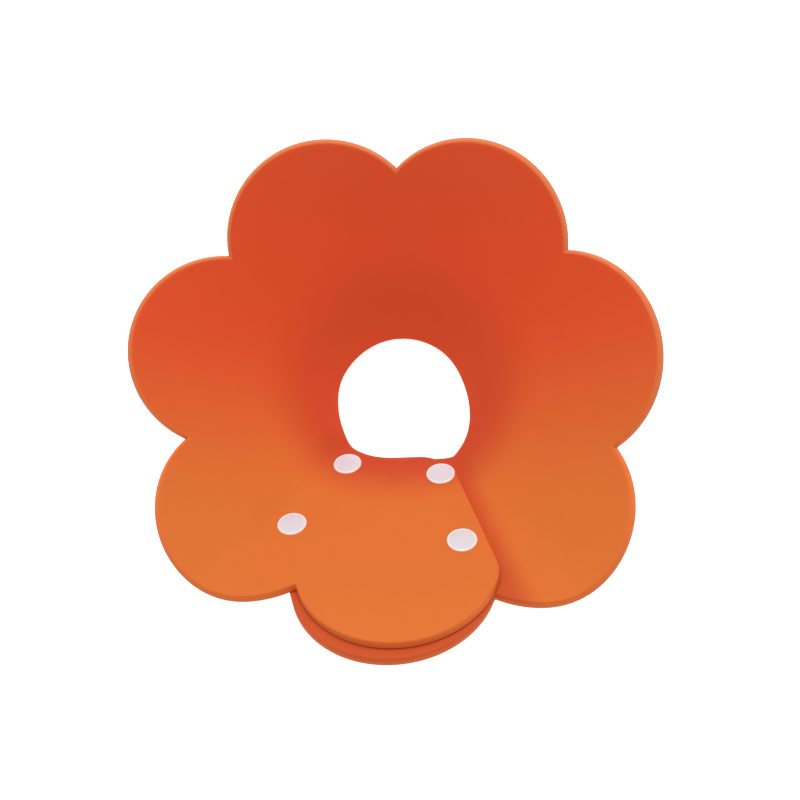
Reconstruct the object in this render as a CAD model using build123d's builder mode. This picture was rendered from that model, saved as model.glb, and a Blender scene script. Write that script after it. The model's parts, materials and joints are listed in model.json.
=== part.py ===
"""Soft flower-shaped recovery collar (elizabethan collar), in millimetres.

One die-cut foam sheet of eight round petals is wrapped into a shallow funnel, so that seven petals show
and the eighth is tucked under the first. Four press snaps hold the two end petals together.

The funnel stands on its neck ring with the petals up. +Z is up, the overlap is on the -Y side, and the
origin is at the middle of the funnel's base.

Every fold line of the wrapped sheet runs through one point, the funnel's apex, below the neck. A place on
the sheet is its distance from the apex (slant) and its angle about the apex in the flat sheet
(sheet angle), which is 0 at the middle of the overlap and positive towards +X.
"""

import os
from math import cos, radians, sin, tan

from build123d import *

# Sheet
SHEET = 5.0  # thickness of the foam
NECK_SLANT = 43.9  # neck edge
PETAL_RADIUS = 49.8
PETAL_SLANT = 113.3  # centre of a petal
LEFT_FRONT_SLANT = 116.8  # the left front petal reaches a little further out
LEFT_PETALS = (-38.5, -82.0, -123.5)  # sheet angles of the petals' middles, from the overlap to the back
RIGHT_PETALS = (38.5, 79.0, 118.5)
ROUND = 280.0  # sheet angle once round the funnel
WEB_RADIUS = 108.0  # the sheet is whole between the petals up to this slant

# Funnel: a flat overlap, a tight bend at each side of it, and a wide cone round the back
CONE_HALF_ANGLE = 51.84
BEND_HALF_ANGLE = 16.64
LAP_LEAN = 43.37  # from straight up to the middle line of the flat overlap
LAP_HALF_WIDTH = 27.0  # sheet angle
BEND_WIDTH = 10.0  # sheet angle
APEX = Vector(-0.64, -1.31, -23.19)

# Overlap, in the flat sheet: X to the right, Y away from the apex
LAP_GAP = 0.3
CLOSING_CENTRE = (1.0, 119.5)
TUCKED_CENTRE = (-1.0, 119.5)
CLOSING_EDGE = ((22.0, 41.0), (50.3, 126.5))  # free edge of the upper layer
CLOSING_NECK = 47.5  # slant of the upper layer's neck edge
CLOSING_FOLD = ((-15.5, 44.5), (-46.7, 133.7))  # neck to notch, on the upper layer
TUCKED_FOLD_X = 8.0
TAB_RADIUS = 10.0  # rounded tab round the left snaps, on the lower layer
CORNER_RADIUS = 8.0
SLIT = 0.15  # half the gap at a fold line

# Press snaps: (x, y) in the plane of the overlap
LEFT_SNAPS = {"left_outer": (-53.4, 92.4), "left_inner": (-29.2, 49.3)}
RIGHT_SNAPS = {"right_outer": (32.0, 106.1), "right_inner": (20.5, 59.0)}
CAP_RADIUS = 7.5
CAP_EDGE = 0.9  # height of the cap's straight edge
CAP_DOME = 0.8
CAP_SINK = 0.4  # how far a cap presses into the foam
PIN_RADIUS = 0.8
PIN_HEAD_RADIUS = 1.15
PIN_HEAD = 0.3
SOCKET_RADIUS = 6.0
SOCKET_HEIGHT = 2.8
CAVITY_RADIUS = 3.6
CAVITY_DEPTH = 2.0
STUD_RADIUS = 5.2
STUD_BASE = 1.25
POST_RADIUS = 2.8
POST_TIP_RADIUS = 1.9
POST_HEIGHT = 1.6
FIT = 0.05  # clearance of a piece in its hole

FAR = 300.0  # longer than anything in the model
INSIDE_NECK = 20.0  # y of a point inside the neck opening

LAP_OUT = Vector(0, -sin(radians(LAP_LEAN)), cos(radians(LAP_LEAN)))
LAP_IN = Vector(0, cos(radians(LAP_LEAN)), sin(radians(LAP_LEAN)))
LAP_SHIFT = (SHEET + LAP_GAP) / 2  # each layer's offset from the middle of the overlap
ACROSS = Vector(0, 1 / cos(radians(LAP_LEAN)), 0)  # a level move that shifts the overlap inward by 1

# Heights above the middle of the overlap, positive inward
UPPER_IN = LAP_SHIFT
UPPER_OUT = LAP_SHIFT - SHEET
LOWER_IN = -LAP_SHIFT
LOWER_OUT = -LAP_SHIFT - SHEET
STUD_FLOOR = LOWER_IN + 0.15  # bottom of the post's hollow, where the pin's head bears


def turned(frame, half_angle, sheet_angle):
    """A frame (out, along, inward) moved round a cone of this half-angle."""
    out, _, inward = frame
    axis = Axis((0, 0, 0), out * cos(radians(half_angle)) + inward * sin(radians(half_angle)))
    turn = sheet_angle / sin(radians(half_angle))
    return tuple(vector.rotate(axis, turn) for vector in frame)


def sheet_frame(sheet_angle):
    """Directions on the wrapped sheet: away from the apex, towards larger sheet angles, and inward."""
    size = abs(sheet_angle)
    flat = radians(min(size, LAP_HALF_WIDTH))
    right = Vector(1, 0, 0)
    frame = (
        LAP_OUT * cos(flat) + right * sin(flat),
        right * cos(flat) - LAP_OUT * sin(flat),
        LAP_IN,
    )
    if size > LAP_HALF_WIDTH:
        frame = turned(frame, BEND_HALF_ANGLE, min(size - LAP_HALF_WIDTH, BEND_WIDTH))
    if size > LAP_HALF_WIDTH + BEND_WIDTH:
        frame = turned(frame, CONE_HALF_ANGLE, size - LAP_HALF_WIDTH - BEND_WIDTH)
    if sheet_angle >= 0:
        return frame
    out, along, inward = frame
    return (
        Vector(-out.X, out.Y, out.Z),
        Vector(along.X, -along.Y, -along.Z),
        Vector(-inward.X, inward.Y, inward.Z),
    )


def lap_plane(height):
    """The overlap's plane, this far inward of the middle of the overlap, facing outward."""
    return Plane(origin=APEX + LAP_IN * height, x_dir=(1, 0, 0), z_dir=-LAP_IN)


def layer_plane(shift):
    """The flat sheet of a layer, on its inner face, facing outward. A layer is shifted without being raised."""
    return Plane(origin=APEX + ACROSS * shift, x_dir=(1, 0, 0), z_dir=-LAP_IN)


def flat_place(slant, sheet_angle):
    """(x, y) in the flat sheet."""
    angle = radians(sheet_angle)
    return (slant * sin(angle), slant * cos(angle))


def curved_panel(start, stop, half_angle, petal, shift):
    """The part of a petal that lies on one cone, with its rim cut square to the sheet.

    petal is the (slant, sheet angle) of the petal's centre.
    """
    petal_slant, petal_angle = petal
    origin = APEX + ACROSS * shift
    out, along, inward = sheet_frame(start)
    cone_axis = out * cos(radians(half_angle)) + inward * sin(radians(half_angle))
    reach = petal_slant + PETAL_RADIUS + SHEET
    middle = (start + stop) / 2
    out_middle, along_middle, inward_middle = sheet_frame(middle)
    with BuildPart() as panel:
        with BuildSketch(Plane(origin=origin, x_dir=out, z_dir=along)):
            with Locations((NECK_SLANT, 0)):
                Rectangle(reach - NECK_SLANT, SHEET, align=(Align.MIN, Align.MIN))
        revolve(
            axis=Axis(origin, cone_axis),
            revolution_arc=(stop - start) / sin(radians(half_angle)),
        )
        with BuildSketch(Plane(origin=origin, x_dir=along_middle, z_dir=-inward_middle)):
            Circle(WEB_RADIUS)
            with Locations(flat_place(petal_slant, petal_angle - middle)):
                Circle(PETAL_RADIUS)
        extrude(amount=FAR / 4, both=True, mode=Mode.INTERSECT)
    return panel.part


def meridian(sheet_angle, side):
    """The plane across the sheet at a fold line, half a slit to one side of it."""
    out, along, _ = sheet_frame(sheet_angle)
    return Plane(origin=APEX + along * side * SLIT, x_dir=out, z_dir=along)


def back_petal(middle, start, stop, shift):
    """A petal that lies wholly on the wide cone, between two folds."""
    with BuildPart() as petal:
        add(curved_panel(start - 1, stop + 1, CONE_HALF_ANGLE, (PETAL_SLANT, middle), shift))
        split(bisect_by=meridian(start, 1), keep=Keep.TOP)
        split(bisect_by=meridian(stop, -1), keep=Keep.BOTTOM)
    return petal.part


def folds_between(middles):
    """Sheet angles halfway between neighbouring petals."""
    return [(one + other) / 2 for one, other in zip(middles, middles[1:])]


def on_line(line, y):
    """The point at this y on a line given by two points."""
    (x0, y0), (x1, y1) = line
    return (x0 + (x1 - x0) * (y - y0) / (y1 - y0), y)


def shifted(point, step):
    """A flat point moved along X."""
    return (point[0] + step, point[1])


def bores(places, radius, top, bottom):
    """Round cutters at these places of the overlap, from one height to a lower one."""
    with BuildPart() as cutters:
        with BuildSketch(lap_plane(top)):
            with Locations(*places):
                Circle(radius)
        extrude(amount=top - bottom)
    return cutters.part


def upper_bores(places):
    """Cutters for the upper layer: seats for the face caps, pockets for the sockets, and pin holes.

    A seat also clears the foam that rises beside it where the bend begins."""
    with BuildPart() as cutters:
        add(bores(places, CAP_RADIUS + FIT, UPPER_IN + 2 * SHEET, UPPER_IN - CAP_SINK))
        add(bores(places, SOCKET_RADIUS + FIT, UPPER_OUT + SOCKET_HEIGHT, UPPER_OUT))
        add(bores(places, PIN_RADIUS + FIT, UPPER_IN, UPPER_OUT))
    return cutters.part


def lower_bores(places):
    """Cutters for the lower layer: pockets for the studs, seats for the back caps, and pin holes."""
    with BuildPart() as cutters:
        add(bores(places, STUD_RADIUS + FIT, LOWER_IN, LOWER_IN - STUD_BASE))
        add(bores(places, CAP_RADIUS + FIT, LOWER_OUT + CAP_SINK, LOWER_OUT))
        add(bores(places, PIN_RADIUS + FIT, LOWER_IN, LOWER_OUT))
    return cutters.part


def turned_piece(place, profile, dome_from=None, dome_to=None):
    """A round plastic piece: (radius, height) points turned about the axis of a snap.

    With a dome, the profile's two ends are joined by an arc that is level at the axis."""
    centre = lap_plane(0).from_local_coords((place[0], place[1], 0))
    side = Plane(origin=centre, x_dir=(1, 0, 0), z_dir=Vector(1, 0, 0).cross(LAP_IN))
    with BuildPart() as piece:
        with BuildSketch(side):
            with BuildLine():
                Polyline(*profile, close=dome_from is None)
                if dome_from is not None:
                    TangentArc(dome_from, dome_to, tangent=(1, 0))
                    Line(dome_from, profile[0])
            make_face()
        revolve(axis=Axis(centre, LAP_IN))
    return piece.part


def cap(place, seat, head, way):
    """A snap's cap with its pin. way is 1 for a cap that faces inward, -1 for one that faces outward.

    seat is the height of the cap's flat underside, head the height where the pin's flattened end bears."""
    edge = seat + way * CAP_EDGE
    profile = [
        (0, head - way * PIN_HEAD),
        (PIN_HEAD_RADIUS, head - way * PIN_HEAD),
        (PIN_HEAD_RADIUS, head),
        (PIN_RADIUS, head),
        (PIN_RADIUS, seat),
        (CAP_RADIUS, seat),
        (CAP_RADIUS, edge),
    ]
    return turned_piece(place, profile, (0, edge + way * CAP_DOME), (CAP_RADIUS, edge))


def socket(place):
    """The socket in the upper layer: a disc with a round cavity open towards the lower layer."""
    web = UPPER_OUT + CAVITY_DEPTH
    profile = [
        (PIN_RADIUS + FIT, UPPER_OUT + SOCKET_HEIGHT),
        (SOCKET_RADIUS, UPPER_OUT + SOCKET_HEIGHT),
        (SOCKET_RADIUS, UPPER_OUT),
        (CAVITY_RADIUS, UPPER_OUT),
        (CAVITY_RADIUS, web),
        (PIN_RADIUS + FIT, web),
    ]
    return turned_piece(place, profile)


def stud(place):
    """The stud in the lower layer: a disc with a hollow tapered post that enters the socket."""
    hollow = PIN_HEAD_RADIUS + 2 * FIT
    profile = [
        (PIN_RADIUS + FIT, LOWER_IN - STUD_BASE),
        (STUD_RADIUS, LOWER_IN - STUD_BASE),
        (STUD_RADIUS, LOWER_IN),
        (POST_RADIUS, LOWER_IN),
        (POST_TIP_RADIUS, LOWER_IN + POST_HEIGHT),
        (hollow, LOWER_IN + POST_HEIGHT),
        (hollow, STUD_FLOOR),
        (PIN_RADIUS + FIT, STUD_FLOOR),
    ]
    return turned_piece(place, profile)


os.makedirs("parts", exist_ok=True)

nodes = {}

# Fold lines between the petals, from the overlap to the one at the back
back_fold = (LEFT_PETALS[-1] + RIGHT_PETALS[-1] - ROUND) / 2
left_folds = [*folds_between(LEFT_PETALS), back_fold]
right_folds = [*folds_between(RIGHT_PETALS), back_fold + ROUND]

# The four petals of the wide cone. Each layer's shift fades out towards the back of the funnel.
nodes["left_petal"] = back_petal(LEFT_PETALS[1], left_folds[1], left_folds[0], LAP_SHIFT / 2)
nodes["top_left_petal"] = back_petal(LEFT_PETALS[2], left_folds[2], left_folds[1], 0)
nodes["top_right_petal"] = back_petal(RIGHT_PETALS[2], right_folds[1], right_folds[2], 0)
nodes["right_petal"] = back_petal(RIGHT_PETALS[1], right_folds[0], right_folds[1], -LAP_SHIFT / 2)

left_front = (LEFT_FRONT_SLANT, LEFT_PETALS[0])
right_front = (PETAL_SLANT, RIGHT_PETALS[0])
left_stop = left_folds[0]
right_stop = right_folds[0]
bend_start = LAP_HALF_WIDTH
bend_stop = LAP_HALF_WIDTH + BEND_WIDTH

# Left front petal: it carries the upper layer as far as the fold between the snaps.
with BuildPart() as left_front_petal:
    with BuildSketch(layer_plane(LAP_SHIFT)):
        Circle(WEB_RADIUS)
        with Locations(CLOSING_CENTRE, flat_place(*left_front)):
            Circle(PETAL_RADIUS)
        Polygon(
            (0, 0),
            flat_place(FAR, -bend_start),
            shifted(on_line(CLOSING_FOLD, FAR), -SLIT),
            shifted(on_line(CLOSING_FOLD, INSIDE_NECK), -SLIT),
            align=None,
            mode=Mode.INTERSECT,
        )
        Circle(NECK_SLANT, mode=Mode.SUBTRACT)
    extrude(amount=SHEET)
    add(curved_panel(-bend_stop, -bend_start, BEND_HALF_ANGLE, left_front, LAP_SHIFT))
    add(curved_panel(left_stop - 1, -bend_stop, CONE_HALF_ANGLE, left_front, LAP_SHIFT))
    split(bisect_by=meridian(left_stop, 1), keep=Keep.TOP)
    add(upper_bores(LEFT_SNAPS.values()), mode=Mode.SUBTRACT)
nodes["left_front_petal"] = left_front_petal.part

# Closing petal: the free end of the upper layer.
with BuildPart() as closing_petal:
    with BuildSketch(layer_plane(LAP_SHIFT)):
        Circle(WEB_RADIUS)
        with Locations(CLOSING_CENTRE):
            Circle(PETAL_RADIUS)
        Polygon(
            shifted(on_line(CLOSING_FOLD, INSIDE_NECK), SLIT),
            shifted(on_line(CLOSING_FOLD, FAR), SLIT),
            (CLOSING_EDGE[1][0], FAR),
            CLOSING_EDGE[1],
            on_line(CLOSING_EDGE, INSIDE_NECK),
            align=None,
            mode=Mode.INTERSECT,
        )
        Circle(CLOSING_NECK, mode=Mode.SUBTRACT)
        neck_corners = vertices().group_by(Axis.Y)[0]
        fillet(neck_corners.sort_by(Axis.X)[-1], CORNER_RADIUS)
    extrude(amount=SHEET)
    add(upper_bores(RIGHT_SNAPS.values()), mode=Mode.SUBTRACT)
nodes["closing_petal"] = closing_petal.part

# Right front petal: it carries the lower layer as far as the fold between the snaps.
with BuildPart() as right_front_petal:
    with BuildSketch(layer_plane(-LAP_SHIFT)):
        Circle(WEB_RADIUS)
        with Locations(TUCKED_CENTRE, flat_place(*right_front)):
            Circle(PETAL_RADIUS)
        Polygon(
            (TUCKED_FOLD_X + SLIT, TUCKED_FOLD_X / sin(radians(bend_start))),
            (TUCKED_FOLD_X + SLIT, FAR),
            flat_place(FAR, bend_start),
            (0, 0),
            align=None,
            mode=Mode.INTERSECT,
        )
        Circle(NECK_SLANT, mode=Mode.SUBTRACT)
    extrude(amount=SHEET)
    add(curved_panel(bend_start, bend_stop, BEND_HALF_ANGLE, right_front, -LAP_SHIFT))
    add(curved_panel(bend_stop, right_stop + 1, CONE_HALF_ANGLE, right_front, -LAP_SHIFT))
    split(bisect_by=meridian(right_stop, -1), keep=Keep.BOTTOM)
    add(lower_bores(RIGHT_SNAPS.values()), mode=Mode.SUBTRACT)
nodes["right_front_petal"] = right_front_petal.part

# Tucked petal: the free end of the lower layer, with a rounded tab for the left snaps.
layer_drop = LAP_SHIFT * tan(radians(LAP_LEAN))  # how far a layer's own apex is from the overlap's middle
snaps_on_layer = [(x, y - layer_drop) for x, y in LEFT_SNAPS.values()]
with BuildPart() as tucked_petal:
    with BuildSketch(layer_plane(-LAP_SHIFT)):
        with Locations(TUCKED_CENTRE):
            Circle(PETAL_RADIUS)
        with Locations(*snaps_on_layer, (TUCKED_FOLD_X, NECK_SLANT + TAB_RADIUS)):
            Circle(TAB_RADIUS)
        make_hull()
        Polygon(
            (TUCKED_FOLD_X - SLIT, 0),
            (TUCKED_FOLD_X - SLIT, FAR),
            (-FAR, FAR),
            (-FAR, 0),
            align=None,
            mode=Mode.INTERSECT,
        )
        Circle(NECK_SLANT, mode=Mode.SUBTRACT)
    extrude(amount=SHEET)
    add(lower_bores(LEFT_SNAPS.values()), mode=Mode.SUBTRACT)
nodes["tucked_petal"] = tucked_petal.part

# The four press snaps
for name, place in {**LEFT_SNAPS, **RIGHT_SNAPS}.items():
    nodes[f"{name}_face_cap"] = cap(place, UPPER_IN - CAP_SINK, UPPER_OUT + CAVITY_DEPTH, 1)
    nodes[f"{name}_socket"] = socket(place)
    nodes[f"{name}_stud"] = stud(place)
    nodes[f"{name}_back_cap"] = cap(place, LOWER_OUT + CAP_SINK, STUD_FLOOR, -1)

for name, node in nodes.items():
    node.label = name
    export_step(node, f"parts/{name}.step")
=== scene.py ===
"""Looks of the flower-shaped recovery collar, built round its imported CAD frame.

The collar is one foam sheet, wrapped into a funnel so that its two end petals overlap in front, and held
there by four press snaps. The foam is four continuous pieces, each reaching across one fold. Two meet at
the back, and the others are the closing petal and the petal tucked under it.

Lengths are millimetres and angles degrees until a mesh is made. A place on the foam is a point (x, y) of
the flat sheet with the funnel's apex as its origin, and a depth below the inner face. The upper layer of
the overlap belongs to the half of the sheet that goes round to the left, and the lower layer to the other.
"""

import json
from math import asin, atan2, cos, degrees, pi, radians, sin, sqrt

import bmesh
import bpy
import numpy as np
from mathutils import Matrix, Quaternion, Vector

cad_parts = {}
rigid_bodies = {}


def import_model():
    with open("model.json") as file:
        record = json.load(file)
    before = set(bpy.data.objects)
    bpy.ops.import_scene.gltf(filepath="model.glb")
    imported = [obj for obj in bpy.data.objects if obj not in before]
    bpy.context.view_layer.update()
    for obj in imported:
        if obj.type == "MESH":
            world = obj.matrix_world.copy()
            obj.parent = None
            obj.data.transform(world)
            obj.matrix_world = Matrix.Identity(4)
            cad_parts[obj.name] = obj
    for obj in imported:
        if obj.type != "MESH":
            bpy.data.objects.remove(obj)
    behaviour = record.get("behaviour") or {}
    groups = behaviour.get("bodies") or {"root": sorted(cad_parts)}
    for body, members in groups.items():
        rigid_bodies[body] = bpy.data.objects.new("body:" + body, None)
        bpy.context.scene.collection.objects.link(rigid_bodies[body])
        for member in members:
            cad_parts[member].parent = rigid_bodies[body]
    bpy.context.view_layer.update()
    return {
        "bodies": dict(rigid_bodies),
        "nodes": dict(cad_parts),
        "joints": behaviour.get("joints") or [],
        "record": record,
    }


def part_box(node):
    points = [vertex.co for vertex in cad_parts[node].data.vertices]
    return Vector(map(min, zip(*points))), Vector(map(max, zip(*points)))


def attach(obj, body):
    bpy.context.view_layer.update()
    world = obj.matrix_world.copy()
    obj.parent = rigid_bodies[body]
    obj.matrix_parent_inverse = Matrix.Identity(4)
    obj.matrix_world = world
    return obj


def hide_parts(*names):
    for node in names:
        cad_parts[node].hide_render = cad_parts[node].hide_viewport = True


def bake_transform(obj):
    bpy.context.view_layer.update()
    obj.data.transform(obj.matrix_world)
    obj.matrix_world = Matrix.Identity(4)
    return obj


MM = 0.001

# The layers of the overlap, as the signs of their offsets from its middle
UPPER = 1
LOWER = -1

# The flat sheet
SHEET = 5.0  # thickness
NECK_SLANT = 43.9  # the neck edge at the back and the sides
NECK_DEEPENING = {UPPER: 4.3, LOWER: 2.9}  # how much further out the neck edge lies near the overlap
DEEPENING_START = {UPPER: 72.0, LOWER: 90.0}  # sheet angle where that begins
DEEPENING_REACH = {UPPER: 50.0, LOWER: 45.0}  # sheet angle over which it grows
PETAL_RADIUS = 49.8
PETAL_SLANT = 113.3
LEFT_FRONT_SLANT = 116.8
LEFT_PETALS = (-38.5, -82.0, -123.5)  # sheet angles of the petals' middles, from the overlap to the back
RIGHT_PETALS = (38.5, 79.0, 118.5)
LEFT_FOLD = -60.25  # fold lines between the front petals and the next ones
RIGHT_FOLD = 58.75
BACK_FOLD = -142.5  # the line between the two top petals, where the halves of the sheet meet
ROUND = 280.017  # sheet angle once round the funnel
EDGE_ROUNDING = 0.9
EDGE_PINCH = 0.12  # how far the die draws the middle of a cut edge in

# The funnel
CONE_HALF_ANGLE = 51.84  # of the wide cone that is most of the funnel
BEND_HALF_ANGLE = 16.64  # of the tight bends beside the overlap
LAP_LEAN = 43.37  # how far the overlap leans out from upright
LAP_HALF_WIDTH = 27.0  # sheet angle from the middle of the overlap to a bend
BEND_WIDTH = 10.0
BEND_SOFTENING = 5.0  # sheet angle over which foam eases into a bend
APEX = Vector((-0.64, -1.31, -23.19))
LAP_SHIFT = 2.65  # each layer's offset from the middle of the overlap
SHIFT_KEPT = 50.0  # sheet angle up to which a layer keeps its whole offset
SHIFT_GONE = 110.0  # and the one from which it has none

# The overlap
CLOSING_CENTRE = (1.0, 119.5)  # middle of the petal's arc
CLOSING_EDGE = ((24.0, 47.4), (50.3, 126.5))  # free edge of the upper layer, from the neck edge
CLOSING_FOLD = ((-15.5, 44.5), (-46.7, 133.7))  # two points of the fold line, the first at the neck
CORNER_CUT = 9.5  # how far from its corner the free edge begins to turn into the neck edge
CLOSING_SEAM = -22.0  # sheet angle where the closing piece begins
NECK_EASING = 25.0  # sheet angle over which that piece's neck edge turns from round to straight
TUCKED_CENTRE = (-1.0, 119.5)
TUCKED_FOLD_X = 8.0  # x of the tucked petal's fold line
TUCKED_SEAM = 12.0  # x where the tucked piece begins
TUCKED_NECK_SEAM = 17.3  # sheet angle of that seam's neck end
UNDER_NECK = 38.6  # y of the lower layer's neck edge, where it shows beside the closing petal
TAB_RADIUS = 10.0
TAB_TOP = -70.0  # direction of the tab's top from the middle of its outer round, on the sheet
TAB_FOOT = -135.0  # and of its foot from the middle of its inner round
LAST_FACING = 275.0  # the way that petal's outline faces at its end, counted from the sheet's x axis
FACING_STEP = 0.5
STOP_CLEARANCE = (1.0, 8.0)  # how far the outline keeps from the neck end of the tucked piece's seam
CORNER_EASING = 12.0  # length over which the corners of the free ends are eased
TAB_EASING = 4.0
BEND_REACH = 10.0  # how far from a fold the strip given to bend reaches
CLOSING_BEND_START = -2.0  # how far before its fold the strip given to bend begins, for a free end
TUCKED_BEND_START = -2.5

# Press snaps: heights above the middle of the overlap, positive inward
CAP_RADIUS = 7.5
CAP_SINK = 0.4
DENT_RADIUS = 7.2  # how far from its axis a cap dents the foam, and how far beyond that the dent fades
DENT_REACH = 3.0
PRESSED_RADIUS = 4.5  # how far from a snap's axis the foam is quite flat
PRESSED_REACH = 15.75  # and how far beyond that it eases back into its curve
RIM_START = 6.2  # distance from the axis where a cap's rolled rim begins
RIM_REACH = 0.5
PIN_RADIUS = 0.8
PIN_HEAD_RADIUS = 1.15
PIN_HEAD = 0.3
SOCKET_RADIUS = 6.0
SOCKET_HEIGHT = 2.8
CAVITY_RADIUS = 3.6
CAVITY_DEPTH = 2.0
STUD_RADIUS = 5.2
STUD_BASE = 1.25
POST_RADIUS = 2.8
POST_TIP_RADIUS = 1.9
POST_HEIGHT = 1.6
FIT = 0.05
UPPER_IN = LAP_SHIFT  # heights of the layers' faces
UPPER_OUT = LAP_SHIFT - SHEET
LOWER_IN = -LAP_SHIFT
LOWER_OUT = -LAP_SHIFT - SHEET
STUD_FLOOR = LOWER_IN + 0.15
LEFT_SNAPS = ("left_outer", "left_inner")
RIGHT_SNAPS = ("right_outer", "right_inner")
SNAPS = LEFT_SNAPS + RIGHT_SNAPS

# The foam's orange with painted shade and painted light: painted shade deepens it towards the neck, at the
# back and on the lower layer where the closing petal covers it, and painted light lightens the front
# petals. Its colours, each at the neck edge and at the rim, and where they change
BACK_COLOURS = ((0.7, 0.079, 0.02), (0.79, 0.086, 0.022))
FRONT_COLOURS = ((0.56, 0.063, 0.018), (0.71, 0.172, 0.029))
# The same painted shade and painted light on the cut edges
CUT_BACK_COLOURS = ((0.7, 0.079, 0.02), (0.72, 0.165, 0.05))
CUT_FRONT_COLOURS = ((0.56, 0.063, 0.018), (0.77, 0.165, 0.03))
MOTTLING = 0.05  # change of the foam's tone from place to place
FRONT_START = 50.0  # y where the foam begins to lighten with painted light, and the length over which it does
FRONT_REACH = 110.0
NECK_SHADE = 64.0  # distance from the apex where the painted shade at the neck begins to fade at the back
NECK_SHADE_REACH = 40.0
NECK_SHADE_PULL = 20.0  # how much nearer the neck it fades at the front
COVER_SHADE = 0.7  # how far covered foam keeps the painted shade of the neck
COVER_MARGIN = 1.0  # how far beyond the closing petal's free edge foam counts as covered
COVER_REACH = 14.0  # length over which that painted shade then fades
COVER_FRONT = 20.0  # how far in front of the collar's middle that painted shade is full

# The colours of the snaps, in their middle and on their rims, the rims lighter and pinker with a painted
# highlight and a painted reflection of the foam, and of the floor
CAP_COLOURS = ((0.7, 0.71, 0.77), (0.74, 0.75, 0.8))
RIM_HIGHLIGHT_COLOURS = ((0.92, 0.85, 0.82), (0.96, 0.9, 0.87))
FLOOR_COLOURS = ((0.93, 0.93, 0.93), (0.95, 0.95, 0.95))

# Mesh fineness
PETAL_STEPS = 72
CLOSING_ROOT_STEPS = 8  # from the seam to the notch beside the closing petal
TUCKED_ROOT_STEPS = 24  # from the notch beside the tucked petal to the seam
FREE_RIM_STEPS = 91
ROWS = 45
TURNED_STEPS = 72
CROWDING = 0.7  # how far the steps along a petal are drawn towards its notches
FREE_CROWDING = 0.4

# The stage and the camera
FLOOR_REACH = 6000
FLOOR_GLOW = 0.7
WORLD_LIGHT = 0.62
KEY_PLACE = (0.1, 1.0, 1.3)  # metres, as are its aim and its size
KEY_AIM = (0, 0, 0.05)
KEY_SIZE = 1.2
KEY_POWER = 14
FOCAL_LENGTH = 48.78
LENS_SHIFT = (0.0165, -0.0087)
CAMERA_TURNS = (("Z", 2.23), ("Y", -6.38), ("X", -4.48))  # degrees
CAMERA_DISTANCE = 511.3  # from the target, which is this far above the funnel's apex
TARGET_HEIGHT = 100.8

LAP_OUT = Vector((0, -sin(radians(LAP_LEAN)), cos(radians(LAP_LEAN))))
LAP_IN = Vector((0, cos(radians(LAP_LEAN)), sin(radians(LAP_LEAN))))
RIGHT = Vector((1, 0, 0))
ACROSS = Vector((0, 1 / cos(radians(LAP_LEAN)), 0))  # a level move that shifts the overlap inward by 1


def smooth(value):
    """0 below 0, 1 above 1, and a smooth step between."""
    value = np.clip(value, 0, 1)
    return value * value * (3 - 2 * value)


def centre_of(node):
    """The middle of a CAD node's box."""
    low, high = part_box(node)
    return (low + high) / (2 * MM)


# The wrapped sheet


def turned(frame, half_angle, sheet_angle):
    """A frame (out, along, inward) moved round a cone of this half-angle."""
    out, _, inward = frame
    axis = out * cos(radians(half_angle)) + inward * sin(radians(half_angle))
    turn = Quaternion(axis, radians(sheet_angle) / sin(radians(half_angle)))
    return [turn @ direction for direction in frame]


def fold_line_direction(sheet_angle):
    """The direction away from the apex at this sheet angle, on the right half."""
    flat = radians(min(sheet_angle, LAP_HALF_WIDTH))
    frame = [LAP_OUT * cos(flat) + RIGHT * sin(flat), RIGHT * cos(flat) - LAP_OUT * sin(flat), LAP_IN]
    past_lap = sheet_angle - LAP_HALF_WIDTH
    if past_lap > 0:
        frame = turned(frame, BEND_HALF_ANGLE, min(past_lap, BEND_WIDTH))
    if past_lap > BEND_WIDTH:
        frame = turned(frame, CONE_HALF_ANGLE, past_lap - BEND_WIDTH)
    return frame[0]


def softened_directions(step=0.05, furthest=150.0):
    """Sheet angles, and the directions away from the apex there, with the bends eased."""
    half = np.arange(0, furthest, step)
    right = np.array([fold_line_direction(angle) for angle in half])
    left = right[:0:-1] * (-1, 1, 1)
    angles = np.concatenate([-half[:0:-1], half])
    directions = np.concatenate([left, right])
    reach = round(BEND_SOFTENING / step)
    window = np.hanning(2 * reach + 1)
    window /= window.sum()
    eased = np.column_stack([np.convolve(directions[:, axis], window, "valid") for axis in range(3)])
    eased /= np.linalg.norm(eased, axis=1)[:, None]
    return angles[reach:-reach], eased


ANGLES, DIRECTIONS = softened_directions()


def sheet_direction(angle):
    """The direction away from the apex at a sheet angle."""
    return Vector([np.interp(angle, ANGLES, DIRECTIONS[:, axis]) for axis in range(3)])


def from_snaps(points):
    """For each snap, each point's distance from its axis and height above the middle of the overlap.

    The distance counts as endless where the point is in another part of the collar.
    """
    for snap in SNAPS:
        offset = points - np.array(snap_centres[snap])
        height = offset @ np.array(LAP_IN)
        distance = np.linalg.norm(offset - height[:, None] * np.array(LAP_IN), axis=1)
        yield np.where(np.abs(height) < 4 * SHEET, distance, np.inf), height


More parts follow.
